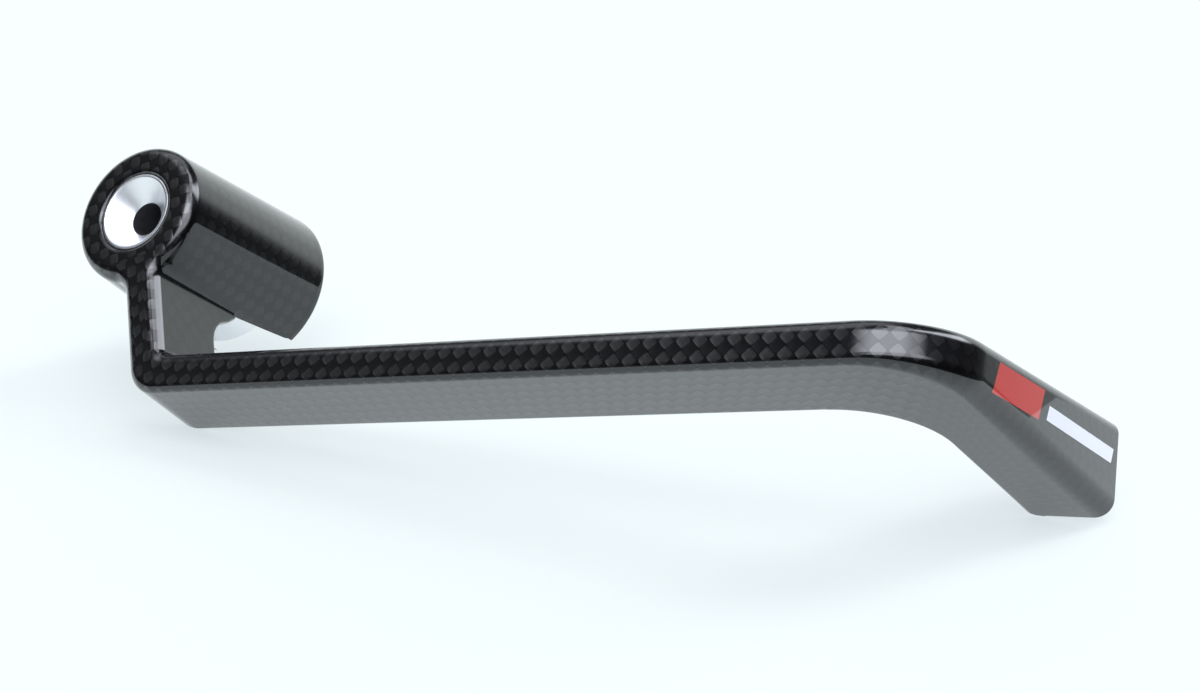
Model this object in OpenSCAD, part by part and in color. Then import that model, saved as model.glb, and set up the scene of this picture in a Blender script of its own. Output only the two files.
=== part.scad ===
// Brake lever guard: one carbon moulding with a turned aluminium bar-end insert.
// Lengths are in millimetres, angles in degrees.
// Drawing frame: the bolt axis is Y and runs into the handlebar, the flat outer
// face is y = 0, X points to the arm's side and -Z down the neck.
// laid() then turns the guard onto the three points that it rests on.

/* [Boss] */
// Diameter of the boss at its outer face, before the edge is rounded
boss_d = 26.4; // [22:0.2:34]
// Length of the boss along the bolt axis
boss_len = 38.3; // [28:0.1:50]
// Mould draft of the boss
boss_draft = 4.1; // [1:0.1:6]
// Rounding of the outer edge of the boss
boss_edge_r = 2.0; // [1:0.1:4]
// Thickness of the boss skin round the insert
boss_wall = 1.5; // [1:0.1:3]
// Thickness of the flat outer face of the boss
face_wall = 2.0; // [1.2:0.1:4]

/* [Relief slot under the boss] */
// Width of the slot at its closed end, beside the neck
slot_front_w = 8.2; // [5:0.1:12]
// Width of the slot at the open rim
slot_rear_w = 13.8; // [8:0.1:18]
// Distance from the outer face to the closed end of the slot
slot_start = 22.8; // [20:0.1:28]
// Rounding of the closed end of the slot
slot_end_r = 2.4; // [1:0.1:4]
// Rounding of the two corners at the rim
slot_rim_r = 2.2; // [0.5:0.1:4]

/* [Bar-end insert] */
// Diameter of the insert where it shows in the outer face
insert_d = 15; // [12:0.1:20]
// How far the insert lies behind the outer face
insert_recess = 0.2; // [0:0.1:1]
// Distance from the outer face to the seat on the handlebar's end
insert_len = 31; // [20:0.5:40]
// Diameter of the bolt hole
bolt_hole_d = 6.5; // [5:0.1:10]
// Largest diameter of the countersink
sink_d = 14.0; // [10:0.1:18]
// Full angle of the countersink
sink_angle = 95; // [60:1:120]
// Bonding gap all round the insert
bond_gap = 0.1; // [0.05:0.01:0.3]

/* [Blade] */
// Width of the narrow front strip of neck and arm, before draft
strip_w = 7.06; // [5:0.01:12]
// Mould draft of the blade's long walls
strip_draft = 4.4; // [1:0.1:8]
// Rounding between the front strip and the long walls
strip_edge_r = 2.2; // [1.9:0.1:3]
// Thickness of the blade's skin
blade_wall = 1.8; // [1:0.1:2.6]
// Depth of the neck, from the front strip to its open back
neck_depth = 15.4; // [10:0.1:20]
// Depth of the arm, from the front strip to its open back
arm_depth = 17.5; // [12:0.1:24]
// Sideways place of the neck's middle line
neck_x = -0.2; // [-2:0.1:2]
// Square distance from the bolt axis to the arm's middle line
arm_drop = 31.8; // [28:0.1:45]
// Angle of the arm below the X axis
arm_angle = 18.5; // [0:0.5:30]
// Outer rounding where the neck turns into the arm
corner_r_out = 6.8; // [5:0.1:12]
// Inner rounding where the neck turns into the arm
corner_r_in = 1.8; // [0.5:0.1:5]
// How much the outer rounding tightens for each mm of depth
corner_tighten = 0.08; // [0:0.01:0.15]
// Size of the blend where the neck leaves the boss
neck_flare = 5.1; // [2:0.1:8]

/* [Tip] */
// Distance along the arm from the bolt axis to the tip's outer wall
tip_reach = 158; // [120:0.5:200]
// Rounding of the bend from the arm's front strip into the tip
tip_bend_r = 16.8; // [8:0.1:24]
// Lean of the tip's outer wall
tip_lean = 7.4; // [2:0.1:12]
// Distance from the front strip to the inner corner of the tip's end
tip_depth = 61.9; // [40:0.1:80]
// Distance along the arm to the tip's inner edge, where it leaves the arm
tip_inner_start = 148; // [110:0.5:190]
// Distance along the arm to the tip's inner edge at the end
tip_inner_end = 152.3; // [112:0.1:192]
// Rounding of the inner edge between arm and tip
tip_inner_r = 16; // [6:0.5:24]
// Slope of the tip's end towards its outer wall
tip_end_slope = 0.14; // [0:0.01:0.4]

/* [Hidden] */
$fn = 96;

carbon = [0.10, 0.10, 0.12];
metal = [0.82, 0.83, 0.85];
cut = 1;
overlap = 0.01;

boss_t = tan(boss_draft);
boss_r0 = boss_d / 2;
function boss_r(y) = boss_r0 + boss_t * y;
seat_r0 = boss_r0 - boss_wall / cos(boss_draft);
function seat_r(y) = seat_r0 + boss_t * y;

// Directions in the drawing frame: along the arm, and square to it, away from the bolt
strip_t = tan(strip_draft);
strip_h = strip_w / 2;
along = [cos(arm_angle), 0, -sin(arm_angle)];
across = [-sin(arm_angle), 0, -cos(arm_angle)];
turn = 90 - arm_angle;

function unit(v) = v / norm(v);
function mix(a, b, f) = a + (b - a) * f;

// Point of the face plane at sideways place x and square distance w from the bolt axis
function face_point(x, w) = [x, 0, -(w + x * sin(arm_angle)) / cos(arm_angle)];

// Centres of the corner's roundings for walls that stand h from the middle lines
function out_centre(h, r) = face_point(neck_x - h + r, arm_drop + h - r);
function in_centre(h, r) = face_point(neck_x + h + r, arm_drop - h - r);

// The tip seen square to the long walls: first value along the arm, second into the bar
tip_t = tan(tip_lean);
bend_turn = 90 - tip_lean;
bend_c = [tip_reach - tip_bend_r * (1 - sin(tip_lean)) / cos(tip_lean), tip_bend_r];
bend_end = bend_c + tip_bend_r * [sin(bend_turn), -cos(bend_turn)];
tip_inner = [tip_inner_end, tip_depth];
tip_outer_y = (tip_depth + tip_end_slope * (tip_reach - tip_inner_end)) / (1 - tip_end_slope * tip_t);
tip_outer = [tip_reach + tip_t * tip_outer_y, tip_outer_y];
inner_dir = unit(tip_inner - [tip_inner_start, arm_depth]);
inner_side = [-inner_dir[1], inner_dir[0]];
inner_cy = arm_depth + tip_inner_r;
inner_cs = tip_inner_start + tip_inner_r * (1 - inner_side[1]) / inner_side[0];
inner_c = [inner_cs, inner_cy];
inner_turn = atan2(-inner_side[1], -inner_side[0]) + 90;

// Points of both edges, and the way into the wall, at a share f of the way round the bend
function inner_edge(f) = inner_c + tip_inner_r * [sin(inner_turn * f), -cos(inner_turn * f)];
function outer_edge(f) = bend_c + tip_bend_r * [sin(bend_turn * f), -cos(bend_turn * f)];
function inward(f) = [-sin(bend_turn * f), cos(bend_turn * f)];

// How far a neck wall h from the bolt plane spreads at height z and depth y, in its fillet to the boss
function neck_spread(z, y, h) =
    let (reach = boss_r(y) + neck_flare,
         low = -sqrt(pow(reach, 2) - pow(h + neck_flare, 2)),
         rise = max(min(z, low * boss_r(y) / reach) - low, 0))
    neck_flare - sqrt(pow(neck_flare, 2) - pow(rise, 2));

// Sections of the blade, from inside the boss to the tip's end. Each is one of
// [NECK, z, depth], [CORNER, angle, depth] or [PLAN, outer point, inner point, way into the wall].
NECK = 0;
CORNER = 1;
PLAN = 2;
blend_steps = 7;
top_steps = 4;
corner_steps = 10;
bend_steps = 20;
clear_step = 0.3;
function wall_h(y) = strip_h + strip_t * y;
function out_round(y) = corner_r_out - corner_tighten * y;
corner_centres = [for (y = [0, neck_depth, arm_depth])
    each [out_centre(wall_h(y), out_round(y)), in_centre(wall_h(y), corner_r_in)]];
neck_low = max([for (c = corner_centres) c[2]]) + clear_step;
arm_start = max([for (c = corner_centres) c * along]) + clear_step;

// The neck grows deeper in a round fillet where it meets the underside of the boss
neck_top = -0.8 * boss_r0;
back_r = slot_start - neck_depth;
blend_top = -boss_r(slot_start);
blend_low = blend_top - back_r;
neck_sections = concat(
    [for (i = [0 : top_steps - 1]) [NECK, mix(neck_top, blend_top, i / top_steps), slot_start]],
    [for (i = [0 : blend_steps])
        let (a = 90 * (1 - i / blend_steps)) [NECK, blend_low + back_r * sin(a), neck_depth + back_r * (1 - cos(a))]],
    [[NECK, neck_low, neck_depth]]
);
sections = concat(
    neck_sections,
    [for (i = [0 : corner_steps]) [CORNER, turn * i / corner_steps, mix(neck_depth, arm_depth, i / corner_steps)]],
    [[PLAN, [arm_start, 0], [arm_start, arm_depth], inward(0)]],
    [for (i = [0 : bend_steps]) let (f = i / bend_steps) [PLAN, outer_edge(f), inner_edge(f), inward(f)]],
    [[PLAN, tip_outer, tip_inner, unit(tip_inner - tip_outer)]]
);
function front_end(s) = s[1] + strip_edge_r * s[3];
function depth_of(s) = s[0] == PLAN ? strip_edge_r + norm(s[2] - front_end(s)) : s[2];

// Point of section s: x behind the front strip, inset from the outer skin of one long wall.
// side is 1 on the outer wall of the corner and -1 on its inner wall.
function neck_point(s, x, inset, side) =
    let (h = wall_h(x) - side * neck_x)
    [-side * (h + neck_spread(s[1], x, h) - inset), x, s[1]];
function corner_point(s, x, inset, side) =
    let (e = [-cos(s[1]), 0, -sin(s[1])],
         h = wall_h(x) - inset,
         r_out = out_round(x) - inset,
         r_in = corner_r_in + inset,
         p = side > 0 ? out_centre(h, r_out) + r_out * e : in_centre(h, r_in) + r_in * e)
    [p[0], x, p[2]];
function plan_point(s, x, inset, side) =
    let (q = x < strip_edge_r
             ? s[1] + x * s[3]
             : front_end(s) + (x - strip_edge_r) * unit(s[2] - front_end(s)),
         h = wall_h(q[1]) - inset)
    along * q[0] + across * (arm_drop + side * h) + [0, q[1], 0];
function skin_point(s, x, inset, side) =
    s[0] == NECK ? neck_point(s, x, inset, side)
    : s[0] == CORNER ? corner_point(s, x, inset, side)
    : plan_point(s, x, inset, side);

// Half of the C-shaped section: inner corner, rounded back edge, rounded front edge
back_steps = 4;
front_steps = 6;
function half_profile(depth) = concat(
    [[blade_wall, blade_wall]],
    [for (i = [back_steps : -1 : 0])
        let (a = 180 * i / back_steps, r = blade_wall / 2) [depth - r + r * sin(a), r - r * cos(a)]],
    [for (i = [0 : front_steps])
        let (a = 90 * i / front_steps, r = strip_edge_r) [r * (1 - sin(a)), r * (1 - cos(a))]]
);
function section_points(s) =
    let (half = half_profile(depth_of(s)), n = len(half))
    concat(
        [for (i = [0 : n - 1]) skin_point(s, half[i][0], half[i][1], -1)],
        [for (i = [n - 1 : -1 : 0]) skin_point(s, half[i][0], half[i][1], 1)]
    );
rings = [for (s = sections) section_points(s)];
ring_n = len(rings[0]);
ring_count = len(rings);
blade_points = [for (ring = rings) for (p = ring) p];
blade_faces = concat(
    [[for (j = [0 : ring_n - 1]) j]],
    [for (i = [0 : ring_count - 2]) for (j = [0 : ring_n - 1])
        let (k = (j + 1) % ring_n, a = i * ring_n, b = a + ring_n) each [[a + j, b + j, b + k], [a + j, b + k, a + k]]],
    [[for (j = [ring_n - 1 : -1 : 0]) (ring_count - 1) * ring_n + j]]
);

// Points of the boss that can touch the table or reach its box
rim_r = boss_r(boss_len);
rim_points = [for (a = [0 : 2 : 358])
    let (p = [rim_r * sin(a), boss_len, -rim_r * cos(a)])
    if (p[2] > 0 || abs(p[0]) > slot_rear_w / 2 + slot_rim_r) p];
face_points = [for (a = [0 : 2 : 358], b = [0 : 15 : 90])
    let (r = boss_r(boss_edge_r) - boss_edge_r * (1 - cos(b)))
    [r * sin(a), boss_edge_r * (1 - sin(b)), -r * cos(a)]];
corner_first = len(neck_sections);
corner_points = [for (i = [corner_first : corner_first + corner_steps + 1]) for (p = rings[i]) p];
tip_points = rings[ring_count - 1];

// The plane that the guard lies on touches the blade's corner, its tip and the boss's rim
function lowest(points, up) =
    let (h = [for (p = points) p * up], low = min(h))
    [for (i = [0 : len(h) - 1]) if (h[i] == low) points[i]][0];
function plane_up(a, b, c, guess) = let (n = unit(cross(b - a, c - a))) n * guess > 0 ? n : -n;
function settle(up, rounds) =
    rounds == 0 ? up
    : settle(plane_up(lowest(corner_points, up), lowest(tip_points, up), lowest(rim_points, up), up), rounds - 1);
up = settle(unit([0.45, -0.64, 0.63]), 6);
right = unit(along - (along * up) * up);
back = cross(up, right);
turned = [for (p = concat(blade_points, rim_points, face_points)) [p * right, p * back, p * up]];
box_lo = [for (i = [0 : 2]) min([for (p = turned) p[i]])];
box_hi = [for (i = [0 : 2]) max([for (p = turned) p[i]])];
shift = [-(box_lo[0] + box_hi[0]) / 2, -(box_lo[1] + box_hi[1]) / 2, -box_lo[2]];

// Turns the drawing frame so that the guard rests on z = 0, centred over the origin
module laid() {
    multmatrix([
        [right[0], right[1], right[2], shift[0]],
        [back[0], back[1], back[2], shift[1]],
        [up[0], up[1], up[2], shift[2]],
        [0, 0, 0, 1]
    ])
        children();
}

// Turns a profile drawn as [radius, depth] about the bolt axis
module turned_about_bolt() {
    rotate([-90, 0, 0])
        rotate_extrude()
            children();
}

// Outside of the boss: a drafted barrel with a rounded outer edge
module boss_body() {
    edge_x = boss_r(boss_edge_r) - boss_edge_r;
    turned_about_bolt() {
        polygon([
            [0, 0],
            [edge_x, 0],
            [edge_x, boss_edge_r],
            [boss_r(boss_edge_r), boss_edge_r],
            [boss_r(boss_len), boss_len],
            [0, boss_len]
        ]);
        intersection() {
            translate([edge_x, boss_edge_r])
                circle(r = boss_edge_r);
            translate([edge_x, 0])
                square([boss_edge_r, boss_edge_r]);
        }
    }
}

// Hollow of the boss, with the hole for the insert's nose
module boss_hollow() {
    turned_about_bolt()
        polygon([
            [0, face_wall],
            [seat_r(face_wall), face_wall],
            [seat_r(boss_len + cut), boss_len + cut],
            [0, boss_len + cut]
        ]);
    turned_about_bolt()
        translate([0, -cut])
            square([insert_d / 2 + bond_gap, face_wall + 2 * cut]);
}

// Slot in the underside of the boss, behind the neck, with round corners
module relief_slot() {
    front_h = slot_front_w / 2;
    rear_h = slot_rear_w / 2;
    spread = (rear_h - front_h) / (boss_len - slot_start);
    far_h = front_h + spread * (boss_len + cut - slot_start);
    translate([0, 0, -boss_r(boss_len) - cut])
        linear_extrude(boss_r(boss_len) + cut - boss_r0 / 2)
            union() {
                polygon([
                    [-front_h, slot_start + slot_end_r],
                    [front_h, slot_start + slot_end_r],
                    [far_h, boss_len + cut],
                    [-far_h, boss_len + cut]
                ]);
                translate([slot_end_r - front_h, slot_start])
                    square([2 * (front_h - slot_end_r), slot_end_r + overlap]);
                for (side = [-1, 1])
                    translate([side * (front_h - slot_end_r), slot_start + slot_end_r])
                        circle(r = slot_end_r);
                for (side = [-1, 1])
                    difference() {
                        translate([side * (rear_h + slot_rim_r / 2), boss_len])
                            square([slot_rim_r, 2 * slot_rim_r], center = true);
                        translate([side * (rear_h + slot_rim_r), boss_len - slot_rim_r])
                            circle(r = slot_rim_r);
                    }
            }
}

// Neck, corner, arm, bend and tip as one drafted skin, open at the back
module blade() {
    polyhedron(points = blade_points, faces = blade_faces, convexity = 6);
}

module guard_shell() {
    color(carbon)
        laid()
            difference() {
                union() {
                    boss_body();
                    blade();
                }
                boss_hollow();
                relief_slot();
            }
}

// Turned insert: nose in the outer face, barrel bonded in the boss, countersunk bolt hole
module bar_end_insert() {
    hole_r = bolt_hole_d / 2;
    sink_r = sink_d / 2;
    sink_end = insert_recess + (sink_r - hole_r) / tan(sink_angle / 2);
    barrel_y = face_wall + bond_gap;
    color(metal)
        laid()
            turned_about_bolt()
                polygon([
                    [sink_r, insert_recess],
                    [insert_d / 2, insert_recess],
                    [insert_d / 2, barrel_y],
                    [seat_r(barrel_y) - bond_gap, barrel_y],
                    [seat_r(insert_len) - bond_gap, insert_len],
                    [hole_r, insert_len],
                    [hole_r, sink_end]
                ]);
}

guard_shell();
bar_end_insert();
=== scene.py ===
# Brake lever guard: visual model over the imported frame.
# The shell is drawn in millimetres in the part's own drawing frame (bolt axis = +Y, outer face y = 0)
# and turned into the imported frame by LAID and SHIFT.
import math
import bpy
import bmesh
from mathutils import Matrix, Vector


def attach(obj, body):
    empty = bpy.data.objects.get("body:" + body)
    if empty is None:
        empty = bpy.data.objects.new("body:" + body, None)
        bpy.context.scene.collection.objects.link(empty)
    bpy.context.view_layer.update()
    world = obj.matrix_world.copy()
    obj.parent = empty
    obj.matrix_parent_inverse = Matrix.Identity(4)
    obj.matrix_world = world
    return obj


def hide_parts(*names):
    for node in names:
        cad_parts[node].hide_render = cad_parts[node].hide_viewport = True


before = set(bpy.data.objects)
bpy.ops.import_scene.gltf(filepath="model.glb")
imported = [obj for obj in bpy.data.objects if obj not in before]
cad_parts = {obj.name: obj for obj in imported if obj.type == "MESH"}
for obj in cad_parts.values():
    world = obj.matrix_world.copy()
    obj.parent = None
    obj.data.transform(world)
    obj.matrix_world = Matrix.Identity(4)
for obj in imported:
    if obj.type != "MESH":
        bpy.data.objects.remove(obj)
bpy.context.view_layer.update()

LAID = Matrix(((0.874265, 0.132363, -0.467055),
               (0.198177, 0.780974, 0.592288),
               (0.443155, -0.610377, 0.656547)))
SHIFT = Vector((-82.1619, -9.33936, 36.0004))


def laid(p):
    return (LAID @ Vector(p) + SHIFT) * 0.001


# Sizes of the part, in millimetres: boss, slot, insert, blade, tip and weave
BOSS_R0 = 13.2
BOSS_LEN = 38.3
BOSS_T = math.tan(math.radians(4.1))
BOSS_EDGE = 2.0
BOSS_WALL = 1.5 / math.cos(math.radians(4.1))
BOSS_RIM = 0.5
RIM_CHAMFER = 0.3
RING_R = 8.5
SLOT_FRONT, SLOT_REAR, SLOT_LEFT = 3.4, 6.9, 3.8
SLOT_DEEP, SLOT_START, SLOT_END_R, SLOT_RIM_R = 18.6, 22.8, 2.4, 2.2
INSERT_R, RECESS, INSERT_LEN, HOLE_R, SINK_R, SINK_ANGLE = 7.5, 0.2, 31.0, 3.25, 7.0, 95.0
BARREL_Y, BOND_GAP = 2.1, 0.1
STRIP_H = 3.53
STRIP_T = math.tan(math.radians(4.4))
EDGE = 2.2
WALL = 1.8
NECK_D, ARM_D = 16.1, 17.5
NECK_X = -0.2
NECK_GAP = 1.4
ARM_DROP = 31.8
ARM_A = math.radians(18.5)
OUT_R, IN_R, TIGHTEN = 6.8, 1.8, 0.08
BEND_R = 16.8
LEAN = math.radians(7.4)
TIP_REACH, TIP_DEPTH, INNER_START, INNER_END = 158.0, 61.9, 148.0, 152.3
INNER_R, END_SLOPE = 16.0, 0.14
TOW = 2.05
WRAP_R = 14.5

ALONG = Vector((math.cos(ARM_A), 0, -math.sin(ARM_A)))
ACROSS = Vector((-math.sin(ARM_A), 0, -math.cos(ARM_A)))
TURN = math.pi / 2 - ARM_A


def mix(a, b, f):
    return a + (b - a) * f


def boss_r(y):
    return BOSS_R0 + BOSS_T * y


def wall_h(y):
    return STRIP_H + STRIP_T * y


def face_point(x, w):
    return (x, -(w + x * math.sin(ARM_A)) / math.cos(ARM_A))


def out_centre(h, r):
    return face_point(NECK_X - h + r, ARM_DROP + h - r)


def in_centre(h, r):
    return face_point(NECK_X + h + r, ARM_DROP - h - r)


def flat(p):
    return Vector((p[0], 0, p[1])).dot(ALONG)


# The tip in plan: (along the arm, into the bar)
BEND_TURN = math.pi / 2 - LEAN
bend_c = Vector((TIP_REACH - BEND_R * (1 - math.sin(LEAN)) / math.cos(LEAN), BEND_R))
tip_outer_y = (TIP_DEPTH + END_SLOPE * (TIP_REACH - INNER_END)) / (1 - END_SLOPE * math.tan(LEAN))
tip_outer = Vector((TIP_REACH + math.tan(LEAN) * tip_outer_y, tip_outer_y))
tip_inner = Vector((INNER_END, TIP_DEPTH))
inner_dir = (tip_inner - Vector((INNER_START, ARM_D))).normalized()
inner_side = Vector((-inner_dir.y, inner_dir.x))
inner_c = Vector((INNER_START + INNER_R * (1 - inner_side.y) / inner_side.x, ARM_D + INNER_R))
inner_turn = math.atan2(-inner_side.y, -inner_side.x) + math.pi / 2


def outer_edge(f):
    a = BEND_TURN * f
    return bend_c + BEND_R * Vector((math.sin(a), -math.cos(a)))


def inner_edge(f):
    a = inner_turn * f
    return inner_c + INNER_R * Vector((math.sin(a), -math.cos(a)))


def plan_row(row):
    """Outer and inner edge of a row on bend or tip, and the way into the wall."""
    f = row[1] if row[0] == "bend" else 1
    outer, inner = outer_edge(f), inner_edge(f)
    inward = Vector((-math.sin(BEND_TURN * f), math.cos(BEND_TURN * f)))
    if row[0] == "tip":
        outer, inner = outer.lerp(tip_outer, row[1]), inner.lerp(tip_inner, row[1])
        inward = inward.lerp((tip_inner - tip_outer).normalized(), row[1]).normalized()
    return outer, inner, inward


def flare(y, side):
    """Radius of the fillet between neck and boss: wider on the left, and narrowing with depth."""
    return 5.1 - 0.17 * y if side > 0 else 3.0 - 0.05 * y


def neck_fillet(y, side):
    """Half width, centre height and angle of the fillet between the boss and the neck's wall on one side."""
    h = wall_h(y) - side * NECK_X
    reach = boss_r(y) + flare(y, side)
    centre = h + flare(y, side)
    return h, -math.sqrt(reach * reach - centre ** 2), math.acos(centre / reach)


def corner_start(y, side):
    if side > 0:
        return out_centre(wall_h(y), OUT_R - TIGHTEN * y)[1]
    return in_centre(wall_h(y), IN_R)[1]


def skin(row, x, inset, side):
    """Point of a blade row: x behind the front, inset from the outer skin of one long wall."""
    kind, f = row[0], row[1]
    if kind == "fillet":
        h, zc, top = neck_fillet(x, side)
        a = top * (1 - f)
        r = flare(x, side) + inset
        return Vector((-side * (h + flare(x, side) - r * math.cos(a)), x, zc + r * math.sin(a)))
    if kind == "neck":
        h, zc, top = neck_fillet(x, side)
        return Vector((-side * (h - inset), x, mix(zc, corner_start(x, side), f)))
    if kind == "corner":
        a = TURN * f
        h = wall_h(x) - inset
        if side > 0:
            r = max(OUT_R - TIGHTEN * x - inset, 0.2)
            c = out_centre(h, r)
        else:
            r = IN_R + inset
            c = in_centre(h, r)
        return Vector((c[0] - r * math.cos(a), x, c[1] - r * math.sin(a)))
    if kind == "arm":
        centre = out_centre(wall_h(x), OUT_R - TIGHTEN * x) if side > 0 else in_centre(wall_h(x), IN_R)
        start = flat(centre)
        end = bend_c.x if x < EDGE else mix(bend_c.x, inner_c.x, (x - EDGE) / (ARM_D - EDGE))
        q = Vector((mix(start, end, f), x))
    else:
        outer, inner, inward = plan_row(row)
        front = outer + EDGE * inward
        q = outer + x * inward if x < EDGE else front + (x - EDGE) * (inner - front).normalized()
    return ALONG * q.x + ACROSS * (ARM_DROP + side * (wall_h(q.y) - inset)) + Vector((0, q.y, 0))


def row_depth(row):
    """Depth of the blade at a row; the neck's back edge curves in below the boss."""
    kind, f = row[0], row[1]
    if kind == "fillet" or kind == "neck":
        top = -boss_r(SLOT_START) - NECK_GAP
        r = SLOT_START - NECK_D
        z = skin(row, NECK_D, 0, -1).z
        d = min(max((z - (top - r)) / r, 0), 1)
        return NECK_D + r * (1 - math.sqrt(max(1 - d * d, 0)))
    if kind == "corner":
        return mix(NECK_D, ARM_D, f)
    if kind == "arm":
        return ARM_D
    outer, inner, inward = plan_row(row)
    return EDGE + (inner - outer - EDGE * inward).length


rows = [("fillet", i / 12) for i in range(13)]
rows += [("neck", i / 10) for i in range(1, 11)]
rows += [("corner", i / 24) for i in range(1, 25)]
rows += [("arm", i / 60) for i in range(1, 61)]
rows += [("bend", i / 56) for i in range(1, 57)]
rows += [("tip", i / 14) for i in range(1, 14)]
TIP_LEN = (tip_outer - outer_edge(1)).length
rows += [("tip", 1 - d / TIP_LEN) for d in (2.6, 2.2, 1.9, 1.6, 1.3, 1.0, 0.8, 0.6, 0.45, 0.3, 0.2, 0.1, 0.04, 0)]

# Steps of half a section, its raw columns (no clear coat), and its edge roundings in millimetres
WALL_STEPS = (0, 0.012, 0.12, 0.25, 0.4, 0.55, 0.7, 0.85, 0.988, 1)
BACK_STEPS = 8
EDGE_STEPS = 12
FRONT = (0.02, 0.15, 0.3, 0.5, 0.7, 0.85, 0.98)
RAW = 8
ARM_EDGE, TIP_EDGE = 1.3, 3.4
END_R, END_EDGE = 2.2, 0.6


def edge_radius(row, side):
    """Rounding of the front edge: tighter along the arm's lower side, wide at the tip."""
    kind, f = row
    if side < 0 or kind in ("fillet", "neck"):
        return EDGE
    if kind == "corner":
        return mix(EDGE, ARM_EDGE, f)
    if kind == "arm":
        return ARM_EDGE
    return mix(ARM_EDGE, TIP_EDGE, f) if kind == "bend" else TIP_EDGE


def rounded_off(row, r):
    """How far a rounding of radius r has cut back at a row near the tip's end."""
    d = (1 - row[1]) * TIP_LEN if row[0] == "tip" else r
    return r - math.sqrt(max(r * r - (r - min(d, r)) ** 2, 0))


def half_section(row, side):
    """Points (depth, inset): inner corner, inner wall, rounded back edge, outer wall, rounded front edge."""
    r = WALL / 2 * (min(row[1] + 0.02, 1) if row[0] == "fillet" else 1)
    depth = row_depth(row) - rounded_off(row, END_R)
    edge = edge_radius(row, side)
    off = rounded_off(row, END_EDGE)
    pts = [(mix(WALL, depth - r, f), WALL) for f in (0, 0.01, 0.5, 0.98, 1)]
    for i in range(1, BACK_STEPS):
        a = math.pi * (1 - i / BACK_STEPS)
        pts.append((depth - r + r * math.sin(a), WALL / 2 * (1 - math.cos(a))))
    pts += [(mix(edge, depth - r, 1 - f), off) for f in WALL_STEPS]
    for i in range(1, EDGE_STEPS + 1):
        a = math.pi / 2 * i / EDGE_STEPS
        pts.append((edge - (edge - off) * math.sin(a), edge - (edge - off) * math.cos(a)))
    return pts


# Weave coordinates: the cloth lies along the neck on ring and neck, and turns to 45 degrees on the arm
CORNER_S = 31.8
SPREAD = 9.0


def weave(s, v):
    f = min(max((s - CORNER_S + SPREAD) / (2 * SPREAD), 0), 1)
    a = math.pi / 4 * f * f * (3 - 2 * f)
    d = s - CORNER_S
    return ((d * math.cos(a) + v * math.sin(a)) / TOW, (-d * math.sin(a) + v * math.cos(a)) / TOW)


bm = bmesh.new()
uv_weave = bm.loops.layers.uv.new("weave")
uv_mark = bm.loops.layers.uv.new("mark")
# The resin layer holds the share of painted shade that flattens the cloth to near black
uv_painted_shade = bm.loops.layers.uv.new("resin")
NO_MARK = (-100.0, -100.0)


def resin(depth, edge, wall):
    """Share of painted shade that flattens the cloth to near black, by depth: none on the front, most on its rounded
    edge, less on the wall behind.
    """
    f = min(max((depth - 0.05) / 1.1, 0), 1)
    g = min(max((depth - 1.4) / 2.6, 0), 1)
    return mix(edge * f * f * (3 - 2 * f), wall, g * g * (3 - 2 * g))


def patch(grid, flip=False, raw=()):
    """Adds rows of (point, weave, mark, painted shade) as quads; the painted shade may be left out and is then half.
    Columns in raw get no clear coat.
    """
    verts = [[bm.verts.new(laid(p[0])) for p in line] for line in grid]
    for i in range(len(grid) - 1):
        for j in range(len(grid[i]) - 1):
            at = [(i, j), (i + 1, j), (i + 1, j + 1), (i, j + 1)]
            if flip:
                at.reverse()
            pts = [verts[a][b] for a, b in at]
            if len({tuple(round(c, 9) for c in q.co) for q in pts}) < 3:
                continue
            face = bm.faces.new(pts)
            face.smooth = True
            face.material_index = 1 if raw is True or j in raw else 0
            for loop, (a, b) in zip(face.loops, at):
                loop[uv_weave].uv = grid[a][b][1]
                loop[uv_mark].uv = grid[a][b][2]
                loop[uv_painted_shade].uv = (grid[a][b][3] if len(grid[a][b]) > 3 else 0.5, 0)


def front_shade(row):
    """Painted shade on the front: the cloth shows up to the bend and fades under painted shade towards the tip."""
    if row[0] == "arm":
        return 0.3 * max(row[1] - 0.9, 0) * 10
    if row[0] == "bend":
        return mix(0.3, 0.88, min(row[1] * 1.4, 1))
    return 0.88 if row[0] == "tip" else 0.0


# Share of the cloth under painted shade, on the rounded edge and on the wall behind it
SHADE_LOWER, SHADE_NECK, SHADE_UPPER = (0.75, 0.68), (0.97, 0.92), (0.97, 0.6)
BOSS_SHADE = (1.0, 0.84)

# Blade: neck, corner, arm, bend and tip
blade = []
s = None
middle = None
for row in rows:
    off = rounded_off(row, END_EDGE)
    edge_r = skin(row, off, edge_radius(row, -1), -1)
    edge_l = skin(row, off, edge_radius(row, 1), 1)
    mid = (edge_r + edge_l) / 2
    s = -mid.z if middle is None else s + (mid - middle).length
    middle = mid
    hw = (edge_r - edge_l).length / 2
    mark_y = plan_row(row)[0].y if row[0] in ("bend", "tip") else NO_MARK[0]
    line = []
    for side in (-1, 1):
        pts = [skin(row, x, e, side) for x, e in half_section(row, side)]
        reach = [0.0]
        for a, b in zip(reversed(pts), list(reversed(pts))[1:]):
            reach.append(reach[-1] + (a - b).length)
        reach.reverse()
        part = []
        if side > 0:
            painted_shade = SHADE_LOWER
        else:
            painted_shade = SHADE_NECK if row[0] in ("fillet", "neck") else SHADE_UPPER
        for p, run, (x, e) in zip(pts, reach, half_section(row, side)):
            v = side * (hw + run)
            planar = row[0] in ("fillet", "neck")
            shade_share = max(resin(x, *painted_shade), front_shade(row))
            part.append((p, weave(-p.z if planar else s, v), (mark_y, v), shade_share))
        if side < 0:
            line += part
            for g in FRONT:
                p = edge_r.lerp(edge_l, g)
                v = mix(-hw, hw, g)
                line.append((p, weave(s, v), (mark_y, v), front_shade(row)))
        else:
            line += reversed(part)
    line.append(line[0])
    blade.append(line)
columns = len(blade[0])
patch(blade, raw=set(range(RAW)) | set(range(columns - 2 - RAW, columns)))
cap = bm.faces.new([bm.verts.new(laid(p[0])) for p in blade[-1][:-1]])
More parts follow.
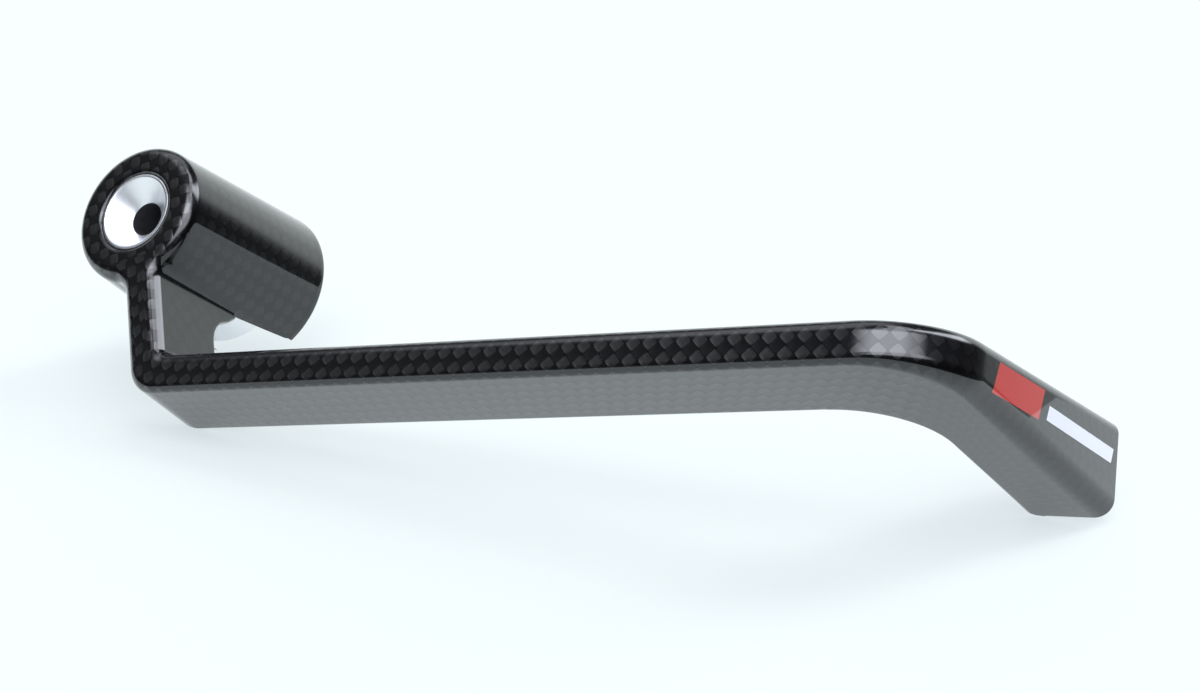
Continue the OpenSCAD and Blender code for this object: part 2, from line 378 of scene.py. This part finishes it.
for loop, p in zip(cap.loops, blade[-1]):
    loop[uv_weave].uv = p[1]
    loop[uv_mark].uv = NO_MARK

# Boss: columns run round it from the right tangent line of the neck to the left one
COLS = 150


def slot_w(y, side):
    """Half width of the slot at depth y: wider on the left behind the neck."""
    w = SLOT_FRONT + (SLOT_REAR - SLOT_FRONT) * (y - SLOT_DEEP) / (BOSS_LEN - SLOT_DEEP)
    if side < 0:
        w += SLOT_LEFT * min(max((y - SLOT_START) / 4.5, 0), 1)
    if y < SLOT_DEEP + SLOT_END_R:
        d = SLOT_DEEP + SLOT_END_R - y
        w += math.sqrt(max(SLOT_END_R ** 2 - d * d, 0)) - SLOT_END_R
    if y > BOSS_LEN - SLOT_RIM_R:
        d = y - BOSS_LEN + SLOT_RIM_R
        w += SLOT_RIM_R - math.sqrt(max(SLOT_RIM_R ** 2 - d * d, 0))
    return w


def ring_angle(y, t):
    right = math.asin((wall_h(y) + NECK_X + flare(y, -1)) / (boss_r(y) + flare(y, -1)))
    left = math.asin((wall_h(y) - NECK_X + flare(y, 1)) / (boss_r(y) + flare(y, 1)))
    if y > SLOT_START:
        left = max(left, math.asin(slot_w(y, -1) / boss_r(y)) + 0.01)
    return mix(right, 2 * math.pi - left, t)


def polar(r, a, y):
    return Vector((r * math.sin(a), y, -r * math.cos(a)))


def flat_uv(p):
    return weave(-p.z, -p.x)


def round_uv(p, a):
    k = math.cos(math.radians(45))
    u, v = (a - math.pi) * WRAP_R, p.y + 4
    return ((u + v) * k / TOW, (v - u) * k / TOW)


boss_rows = []
for r in (RING_R, 9.1, 9.7, 10.3):
    boss_rows.append(("ring", r, 0))
for i in range(EDGE_STEPS, -1, -1):
    boss_rows.append(("edge", i, 0))
top_d = SLOT_START - WALL / 2
for f in reversed(WALL_STEPS[:-1]):
    boss_rows.append(("wall", mix(EDGE, top_d, 1 - f), 0))
boss_rows += [("wall", y, 0) for y in (22.8, 24, 25.2, 27, 29, 31, 33, 35, 36.1, 37, 37.8)]
for i in range(1, 5):
    a = math.pi / 2 * i / 4
    boss_rows.append(("rim", BOSS_RIM * (1 - math.cos(a)), BOSS_LEN - BOSS_RIM + BOSS_RIM * math.sin(a)))
boss_rows += [("rim", BOSS_WALL - RIM_CHAMFER, BOSS_LEN), ("rim", BOSS_WALL, BOSS_LEN - RIM_CHAMFER),
              ("rim", BOSS_WALL, INSERT_LEN - 0.4)]


def boss_point(row, t):
    kind, a, b = row
    if kind == "ring":
        th = ring_angle(0, t)
        return polar(a, th, 0), th
    if kind == "edge":
        e = math.pi / 2 * a / EDGE_STEPS
        side_t = min(t, 1 - t)
        r = mix(EDGE, BOSS_EDGE, min(side_t / 0.1, 1))
        y, inset = r * (1 - math.sin(e)), r * (1 - math.cos(e))
        th = ring_angle(y, t)
        return polar(boss_r(y) - inset, th, y), th
    if kind == "wall":
        th = ring_angle(a, t)
        return polar(boss_r(a), th, a), th
    th = ring_angle(b, t)
    return polar(boss_r(b) - a, th, b), th


grid_flat, grid_round = [], []
for row in boss_rows:
    pts = [boss_point(row, j / COLS) for j in range(COLS + 1)]
    if row[0] == "ring" or (row[0] == "edge" and row[1] >= EDGE_STEPS // 2):
        grid_flat.append([(p, flat_uv(p), NO_MARK, resin(p.y, *BOSS_SHADE)) for p, a in pts])
    if row[0] != "ring" and not (row[0] == "edge" and row[1] > EDGE_STEPS // 2):
        grid_round.append([(p, round_uv(p, a), NO_MARK, resin(p.y, *BOSS_SHADE)) for p, a in pts])
patch(grid_flat)
patch(grid_round)

# Ring beside the neck, and the rim of the hole
right_a, left_a = ring_angle(0, 0), ring_angle(0, 1) - 2 * math.pi
edge_r, edge_l = skin(rows[0], 0, EDGE, -1), skin(rows[0], 0, EDGE, 1)
steps = (0,) + FRONT + (1,)
entry = []
for k in (0, 0.25, 0.5, 0.75, 1):
    line = []
    for g in steps:
        p = polar(RING_R, mix(right_a, left_a, g), 0).lerp(edge_r.lerp(edge_l, g), k)
        line.append((p, flat_uv(p), NO_MARK, 0.0))
    entry.append(line)
patch(entry, flip=True)
angles = [mix(left_a, right_a, 1 - g) for g in reversed(steps)]
angles += [ring_angle(0, j / COLS) for j in range(1, COLS + 1)]
HOLE_RIM = ((7.6, 1.9), (7.6, 0.62), (7.64, 0.47), (7.75, 0.31),
            (7.92, 0.17), (8.16, 0.06), (8.34, 0.015), (RING_R, 0))
hole = []
for r, y in HOLE_RIM:
    hole.append([(polar(r, a, y), flat_uv(polar(r, a, y)), NO_MARK) for a in angles])
patch(hole)

# Underside of the boss: behind the neck, and beside the slot
under = []
for y in [1.7, 2.2] + [mix(2.2, SLOT_DEEP, i / 12) for i in range(1, 13)]:
    line = []
    for j in range(33):
        a = mix(ring_angle(y, 1) - 2 * math.pi, ring_angle(y, 0), j / 32)
        p = polar(boss_r(y) - (0.02 if y > 2 else 0.12), a, y)
        line.append((p, round_uv(p, a), NO_MARK))
    under.append(line)
patch(under, raw=True)


def slot_point(y, inset, side):
    r = boss_r(y) - inset
    w = min(slot_w(y, side), r * 0.99)
    return Vector((side * w, y, -math.sqrt(r * r - w * w)))


slot_ys = [SLOT_DEEP + SLOT_END_R * (1 - math.cos(math.pi / 2 * i / 8)) for i in range(9)]
slot_ys += [22, 22.8, 24, 25.2, 26.3, 27.3, 29, 31, 33, 35]
slot_ys += [BOSS_LEN - SLOT_RIM_R + SLOT_RIM_R * math.sin(math.pi / 2 * i / 8) for i in range(9)]


def rim_inset(y):
    """How far the rounded rear rim has cut back the outer skin at depth y."""
    d = y - BOSS_LEN + BOSS_RIM
    return BOSS_RIM - math.sqrt(BOSS_RIM ** 2 - min(d, BOSS_RIM) ** 2) if d > 0 else 0


for side in (-1, 1):
    beside, cheek, inner = [], [], []
    rim = [(BOSS_LEN, BOSS_WALL - RIM_CHAMFER), (BOSS_LEN - RIM_CHAMFER, BOSS_WALL)]
    for y, inset in [(y, rim_inset(y)) for y in slot_ys] + rim:
        border = ring_angle(y, 0) if side > 0 else 2 * math.pi - ring_angle(y, 1)
        r = boss_r(y) - inset
        low = math.asin(min(slot_w(y, side) / r, 0.99))
        line = []
        for j in range(9):
            a = side * mix(low, max(border, low), j / 8)
            p = polar(r, a, y)
            line.append((p, round_uv(p, a), NO_MARK, BOSS_SHADE[1]))
        beside.append(line)
    for y in slot_ys:
        border = ring_angle(y, 0) if side > 0 else 2 * math.pi - ring_angle(y, 1)
        r = boss_r(y)
        low = math.asin(min(slot_w(y, side) / r, 0.99))
        line = []
        for j in range(9):
            a = side * mix(math.asin(min(slot_w(y, side) / (r - BOSS_WALL), 0.99)), max(border, low), j / 8)
            p = polar(r - BOSS_WALL, a, y)
            line.append((p, round_uv(p, a), NO_MARK))
        inner.append(line)
        out, inn = slot_point(y, rim_inset(y), side), slot_point(y, BOSS_WALL, side)
        cheek.append([(out, round_uv(out, 0), NO_MARK), (inn, round_uv(inn, 0), NO_MARK)])
    patch(beside, flip=side > 0)
    patch(inner, flip=side < 0, raw=True)
    patch(cheek, flip=side < 0, raw=True)
closed = []
for j in range(9):
    w = mix(-1, 1, j / 8) * slot_w(SLOT_DEEP, 1)
    line = []
    for e in (0, BOSS_WALL):
        r = boss_r(SLOT_DEEP) - e
        p = Vector((w, SLOT_DEEP, -math.sqrt(r * r - w * w)))
        line.append((p, round_uv(p, 0), NO_MARK))
    closed.append(line)
patch(closed, raw=True)

bmesh.ops.remove_doubles(bm, verts=bm.verts, dist=1e-6)
mesh = bpy.data.meshes.new("shell_skin")
bm.to_mesh(mesh)
bm.free()
mesh.set_sharp_from_angle(angle=math.radians(38))
shell = bpy.data.objects.new("shell_skin", mesh)
bpy.context.scene.collection.objects.link(shell)
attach(shell, "root")
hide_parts("guard_shell")


# Turned insert: nose with countersink, bore, barrel and seat, as one profile of (radius, depth)
def barrel_r(y):
    return BOSS_R0 - BOSS_WALL + BOSS_T * y


sink_end = RECESS + (SINK_R - HOLE_R) / math.tan(math.radians(SINK_ANGLE / 2))
profile = [(HOLE_R, INSERT_LEN - 0.3), (HOLE_R, 12), (HOLE_R, sink_end + 0.1), (HOLE_R + 0.08, sink_end)]
profile += [(mix(HOLE_R + 0.08, SINK_R - 0.1, i / 12), mix(sink_end, RECESS + 0.09, i / 12)) for i in range(1, 13)]
profile += [(SINK_R, RECESS + 0.02), (SINK_R + 0.12, RECESS)]
profile += [(INSERT_R - 0.15, RECESS), (INSERT_R - 0.04, RECESS + 0.05)]
profile += [(INSERT_R, RECESS + 0.15), (INSERT_R, BARREL_Y)]
profile += [(barrel_r(y) - BOND_GAP, y) for y in (BARREL_Y, 6, 12, 18, 24, 30.4)]
profile += [(barrel_r(30.8) - 0.22, 30.86), (barrel_r(INSERT_LEN) - 0.6, INSERT_LEN)]
profile += [(8, INSERT_LEN), (HOLE_R + 0.3, INSERT_LEN), (HOLE_R, INSERT_LEN - 0.3)]

bm = bmesh.new()
uv_turned = bm.loops.layers.uv.new("turned")
SEGS = 160
run = [0.0]
for a, b in zip(profile, profile[1:]):
    run.append(run[-1] + math.hypot(a[0] - b[0], a[1] - b[1]))
rings = [[bm.verts.new(laid(polar(r, 2 * math.pi * j / SEGS, y))) for j in range(SEGS)] for r, y in profile[:-1]]
rings.append(rings[0])
for i in range(len(profile) - 1):
    for j in range(SEGS):
        k = (j + 1) % SEGS
        face = bm.faces.new((rings[i][j], rings[i + 1][j], rings[i + 1][k], rings[i][k]))
        face.smooth = True
        # The bore gets the darker bore material: painted shade inside the hole
        face.material_index = 1 if i < 2 else 0
        for loop, (u, v) in zip(face.loops, ((j, i), (j, i + 1), (j + 1, i + 1), (j + 1, i))):
            loop[uv_turned].uv = (u / SEGS, run[v])
bmesh.ops.recalc_face_normals(bm, faces=bm.faces)
mesh = bpy.data.meshes.new("turned_insert")
bm.to_mesh(mesh)
bm.free()
mesh.set_sharp_from_angle(angle=math.radians(30))
insert = bpy.data.objects.new("turned_insert", mesh)
bpy.context.scene.collection.objects.link(insert)
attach(insert, "root")
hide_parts("bar_end_insert")


# Node helpers
class Nodes:
    def __init__(self, tree):
        self.tree = tree

    def add(self, kind, **sockets):
        node = self.tree.nodes.new(kind)
        for name, value in sockets.items():
            self.put(node, name, value)
        return node

    def put(self, node, name, value):
        key = int(name[1:]) if name[0] == "_" and name[1:].isdigit() else name.replace("_", " ")
        socket = node.inputs[key]
        if isinstance(value, bpy.types.NodeSocket):
            self.tree.links.new(value, socket)
        else:
            socket.default_value = value

    def math(self, op, a, b=0.0, c=0.0, clamp=False):
        node = self.add("ShaderNodeMath", _0=a, _1=b, _2=c)
        node.operation = op
        node.use_clamp = clamp
        return node.outputs[0]

    def ramp(self, value, lo, hi, to_lo=0.0, to_hi=1.0):
        node = self.add("ShaderNodeMapRange", Value=value, From_Min=lo, From_Max=hi,
                        To_Min=to_lo, To_Max=to_hi)
        node.interpolation_type = "SMOOTHSTEP"
        return node.outputs[0]

    def mix(self, f, a, b):
        node = self.add("ShaderNodeMix")
        node.data_type = "RGBA"
        for index, value in ((0, f), (6, a), (7, b)):
            if isinstance(value, bpy.types.NodeSocket):
                self.tree.links.new(value, node.inputs[index])
            else:
                node.inputs[index].default_value = value
        return node.outputs[2]


def new_material(name):
    mat = bpy.data.materials.new(name)
    mat.use_nodes = True
    n = Nodes(mat.node_tree)
    return mat, n, mat.node_tree.nodes["Principled BSDF"]


# Plain weave: one tow family catches the light, the other stays dark
def weave_nodes(n):
    uv = n.add("ShaderNodeUVMap")
    uv.uv_map = "weave"
    sep = n.add("ShaderNodeSeparateXYZ", Vector=uv.outputs[0])
    u, v = sep.outputs[0], sep.outputs[1]
    cell_u, cell_v = n.math("FLOOR", u), n.math("FLOOR", v)
    fu = n.math("SUBTRACT", n.math("SUBTRACT", u, cell_u), 0.5)
    fv = n.math("SUBTRACT", n.math("SUBTRACT", v, cell_v), 0.5)
    parity = n.math("PINGPONG", n.math("ADD", cell_u, cell_v), 1.0)
    warp = n.math("LESS_THAN", parity, 0.5)
    weft = n.math("SUBTRACT", 1.0, warp)
    across = n.math("ADD", n.math("MULTIPLY", warp, fv), n.math("MULTIPLY", weft, fu))
    along = n.math("ADD", n.math("MULTIPLY", warp, fu), n.math("MULTIPLY", weft, fv))
    crown = n.math("SUBTRACT", 1.0, n.math("POWER", n.math("ABSOLUTE", n.math("MULTIPLY", across, 2.0)), 4.0))
    bow = n.math("COSINE", n.math("MULTIPLY", along, 0.86 * math.pi))
    height = n.math("MULTIPLY", crown, bow)
    key = n.math("ADD", cell_u, n.math("MULTIPLY", cell_v, 7.3))
    strands = n.add("ShaderNodeCombineXYZ", X=n.math("MULTIPLY", across, 22.0),
                    Y=n.math("MULTIPLY", along, 1.2), Z=key)
    fibre = n.add("ShaderNodeTexNoise", Scale=1.0, Detail=2.0, Vector=strands.outputs[0])
    return warp, height, fibre.outputs[0]


# Clear-coated weave with two printed fields on the tip
mat, n, bsdf = new_material("carbon_weave")
warp, height, fibre = weave_nodes(n)
# Painted sheen and shade: warp tows are painted lighter than weft tows, and each tow's crown lighter than its sides,
# with painted shade near black in the gaps between tows
crown_sheen = n.ramp(height, -0.02, 0.42)
warp_sheen = n.mix(fibre, (0.058, 0.058, 0.060, 1), (0.130, 0.129, 0.128, 1))
weft_shaded = n.mix(fibre, (0.016, 0.016, 0.018, 1), (0.034, 0.034, 0.037, 1))
cloth = n.mix(crown_sheen, (0.005, 0.005, 0.006, 1), n.mix(warp, weft_shaded, warp_sheen))
# Painted shade: the resin layer flattens the cloth to near black on rounded edges, walls, the bend and the tip
uvr = n.add("ShaderNodeUVMap")
uvr.uv_map = "resin"
painted_shade = n.add("ShaderNodeSeparateXYZ", Vector=uvr.outputs[0]).outputs[0]
cloth = n.mix(painted_shade, cloth, (0.010, 0.010, 0.012, 1))
uvm = n.add("ShaderNodeUVMap")
uvm.uv_map = "mark"
sepm = n.add("ShaderNodeSeparateXYZ", Vector=uvm.outputs[0])


def field(y0, y1, v0, v1, slant, rise):
    """Mask of a slanted field between y0 and y1 along the tip and v0 and v1 across it."""
    y = n.math("ADD", sepm.outputs[0], n.math("MULTIPLY", sepm.outputs[1], slant))
    from_middle = n.math("SUBTRACT", sepm.outputs[0], (y0 + y1) / 2)
    v = n.math("ADD", sepm.outputs[1], n.math("MULTIPLY", from_middle, rise))
    dy = n.math("SUBTRACT", n.math("ABSOLUTE", n.math("SUBTRACT", y, (y0 + y1) / 2)), (y1 - y0) / 2)
    dv = n.math("SUBTRACT", n.math("ABSOLUTE", n.math("SUBTRACT", v, (v0 + v1) / 2)), (v1 - v0) / 2)
    return n.math("LESS_THAN", n.math("MAXIMUM", dy, dv), 0.0)


red = field(18.5, 34.0, -2.7, 2.6, 0.3, 0.07)
white = field(36.5, 61.0, -1.9, 0.7, 0.3, 0.04)
colour = n.mix(red, cloth, (0.56, 0.020, 0.012, 1))
colour = n.mix(white, colour, (0.80, 0.81, 0.84, 1))
n.put(bsdf, "Base Color", colour)
bare = n.math("SUBTRACT", 1.0, n.math("MAXIMUM", red, white))
n.put(bsdf, "Metallic", bare)
n.put(bsdf, "Roughness", n.ramp(fibre, 0.2, 0.8, 0.34, 0.42))
n.put(bsdf, "Normal", n.add("ShaderNodeBump", Strength=0.45, Distance=0.00015,
                            Height=n.math("MULTIPLY", height, n.math(
                                "MULTIPLY", bare, n.math("SUBTRACT", 1.0, painted_shade)))).outputs[0])
n.put(bsdf, "Coat Weight", 1.0)
n.put(bsdf, "Coat Roughness", 0.025)
n.put(bsdf, "Coat IOR", 1.6)
shell.data.materials.append(mat)

# Inside of the shell: the same cloth as it leaves the vacuum bag, dull and resin-rich
mat, n, bsdf = new_material("carbon_inside")
warp, height, fibre = weave_nodes(n)
resin = n.add("ShaderNodeTexNoise", Scale=220.0, Detail=4.0).outputs[0]
# Painted sheen as outside: warp tows painted lighter than weft tows, tow crowns lighter than the near-black gaps
tow_sheen = n.mix(warp, (0.020, 0.020, 0.023, 1), (0.045, 0.045, 0.048, 1))
n.put(bsdf, "Base Color", n.mix(n.math("MULTIPLY", n.ramp(height, 0.1, 0.8), fibre),
                                (0.010, 0.010, 0.012, 1), tow_sheen))
n.put(bsdf, "Roughness", n.ramp(resin, 0.3, 0.7, 0.42, 0.7))
n.put(bsdf, "Normal", n.add("ShaderNodeBump", Strength=0.7, Distance=0.0002,
                            Height=n.math("ADD", height, n.math("MULTIPLY", resin, 0.6))).outputs[0])
shell.data.materials.append(mat)

# Fine-turned aluminium
mat, n, bsdf = new_material("turned_aluminium")
uv = n.add("ShaderNodeUVMap")
uv.uv_map = "turned"
sep = n.add("ShaderNodeSeparateXYZ", Vector=uv.outputs[0])
grooves = n.add("ShaderNodeCombineXYZ", X=n.math("MULTIPLY", sep.outputs[0], 1.5),
                Y=n.math("MULTIPLY", sep.outputs[1], 9.0))
lines = n.add("ShaderNodeTexNoise", Vector=grooves.outputs[0], Scale=1.0, Detail=3.0)
n.put(bsdf, "Base Color", n.mix(lines.outputs[0], (0.84, 0.86, 0.90, 1), (0.96, 0.97, 0.99, 1)))
n.put(bsdf, "Metallic", 1.0)
n.put(bsdf, "Roughness", n.ramp(lines.outputs[0], 0.2, 0.8, 0.30, 0.44))
n.put(bsdf, "Anisotropic", 0.6)
tangent = n.add("ShaderNodeTangent")
tangent.direction_type = "UV_MAP"
tangent.uv_map = "turned"
n.put(bsdf, "Tangent", tangent.outputs[0])
bump = n.add("ShaderNodeBump", Strength=0.12, Distance=0.00003, Height=lines.outputs[0])
n.put(bsdf, "Normal", bump.outputs[0])
insert.data.materials.append(mat)

# Drilled bore: rougher than the turned faces, and painted darker, as painted shade inside the hole
mat, n, bsdf = new_material("drilled_bore")
score = n.add("ShaderNodeTexNoise", Scale=900.0, Detail=2.0).outputs[0]
n.put(bsdf, "Base Color", n.mix(score, (0.16, 0.16, 0.18, 1), (0.30, 0.30, 0.32, 1)))
n.put(bsdf, "Metallic", 1.0)
n.put(bsdf, "Roughness", n.ramp(score, 0.3, 0.7, 0.4, 0.6))
insert.data.materials.append(mat)

# Floor, in metres. Camera, glossy and transmission rays see it pale; the light it gives back is dimmer
FLOOR_X, FLOOR_Y = (-1.6, 0.20), (-0.9, 1.7)
bm = bmesh.new()
corners = ((FLOOR_X[0], FLOOR_Y[0]), (FLOOR_X[1], FLOOR_Y[0]), (FLOOR_X[1], FLOOR_Y[1]), (FLOOR_X[0], FLOOR_Y[1]))
bm.faces.new([bm.verts.new((x, y, 0)) for x, y in corners])
mesh = bpy.data.meshes.new("floor")
bm.to_mesh(mesh)
bm.free()
floor = bpy.data.objects.new("floor", mesh)
bpy.context.scene.collection.objects.link(floor)
mat, n, bsdf = new_material("floor_paper")
grain = n.add("ShaderNodeTexNoise", Scale=400.0, Detail=3.0).outputs[0]
paths = n.add("ShaderNodeLightPath").outputs
seen = n.math("MAXIMUM", paths["Is Camera Ray"],
              n.math("MAXIMUM", paths["Is Glossy Ray"], paths["Is Transmission Ray"]))
n.put(bsdf, "Base Color", n.mix(seen, n.mix(grain, (0.56, 0.62, 0.79, 1), (0.57, 0.63, 0.80, 1)),
                                n.mix(grain, (0.89, 0.92, 0.85, 1), (0.90, 0.93, 0.86, 1))))
n.put(bsdf, "Roughness", 0.9)
n.put(bsdf, "Specular IOR Level", 0.1)
pale = n.add("ShaderNodeEmission", Color=(0.87, 0.96, 1.0, 1), Strength=1.0)
both = n.add("ShaderNodeMixShader", _0=n.math("MULTIPLY", seen, 0.7), _1=bsdf.outputs[0], _2=pale.outputs[0])
mat.node_tree.links.new(both.outputs[0], mat.node_tree.nodes["Material Output"].inputs["Surface"])
floor.data.materials.append(mat)

# World: a studio of soft panels in a dim room. The camera sees it pale all round; glossy and transmission
# rays see it pale towards the backdrop behind the part, and see the panels elsewhere
world = bpy.data.worlds.new("studio")
bpy.context.scene.world = world
world.use_nodes = True
w = Nodes(world.node_tree)
direction = w.add("ShaderNodeTexCoord").outputs["Generated"]
dx, dy, dz = w.add("ShaderNodeSeparateXYZ", Vector=direction).outputs
azimuth = w.math("MULTIPLY", w.math("ARCTAN2", dx, dy), 180 / math.pi)
height_deg = w.math("MULTIPLY", w.math("ARCSINE", dz, clamp=False), 180 / math.pi)


def panel(az, half_az, el, half_el, soft_az, soft_el, lean=0.0):
    """Soft-edged mask of a panel round azimuth az and elevation el, in degrees; lean moves az with elevation."""
    shifted = w.math("ADD", az, w.math("MULTIPLY", w.math("SUBTRACT", height_deg, el), lean))
    off = w.math("SUBTRACT", azimuth, shifted)
    turn = w.math("PINGPONG", w.math("ABSOLUTE", off), 180.0)
    rise = w.math("ABSOLUTE", w.math("SUBTRACT", height_deg, el))
    return w.math("MULTIPLY", w.ramp(turn, half_az - soft_az, half_az + soft_az, 1.0, 0.0),
                  w.ramp(rise, half_el - soft_el, half_el + soft_el, 1.0, 0.0))


light = (0.03, 0.03, 0.034, 1)
for mask, level in (
    (panel(-16, 46, 6, 18, 3, 6), 0.42),
    (panel(-40, 40, 8, 18, 12, 6), 0.66),
    (panel(-100, 36, 34, 12, 12, 9), 0.10),
    (panel(-60, 46, 57, 14, 15, 8), 1.1),
    (panel(147, 40, 40, 12, 10, 6), 3.2),
    (panel(80, 105, 80, 11, 14, 4), 2.8),
    (panel(162, 46, 59, 9, 21, 6), 5.0),
    (panel(51, 14, 46, 25, 10, 7, 0.75), 6.2),
):
    light = w.mix(mask, light, (0.95 * level, 0.99 * level, 1.07 * level, 1))
path = w.add("ShaderNodeLightPath")
bounced = w.math("MAXIMUM", path.outputs["Is Glossy Ray"], path.outputs["Is Transmission Ray"])
backdrop = w.math("MULTIPLY", bounced, panel(-24, 56, 4, 20, 8, 6))
pale_share = w.math("MAXIMUM", path.outputs["Is Camera Ray"], backdrop)
w.put(world.node_tree.nodes["Background"], "Color", w.mix(pale_share, light, (0.93, 1.0, 1.0, 1)))

# Camera, fitted to the outlines of the part in the photo (focal length in pixels of the photo's width)
FOCAL_PX, WIDTH_PX, SENSOR_MM = 2180.5267671999263, 1200, 36
CAM_ROT = Vector((1.093406737087595, 0.13176590838739913, -0.5185659144231725))
CAM_T = Vector((-85.27641451603665, -24.81845693034542, 399.0697249079245))
rot = Matrix.Rotation(CAM_ROT.length, 3, CAM_ROT.normalized())
position = -(rot.transposed() @ CAM_T)
axes = [LAID @ rot[i] for i in range(3)]
cam = bpy.data.cameras.new("camera")
cam.sensor_width = SENSOR_MM
cam.lens = FOCAL_PX / WIDTH_PX * SENSOR_MM
cam.clip_start = 0.01
camera = bpy.data.objects.new("camera", cam)
bpy.context.scene.collection.objects.link(camera)
turn = Matrix((axes[0], -axes[1], -axes[2])).transposed()
camera.matrix_world = Matrix.Translation(laid(position)) @ turn.to_4x4()
bpy.context.scene.camera = camera
bpy.context.scene.view_settings.view_transform = "Standard"

bpy.context.view_layer.update()
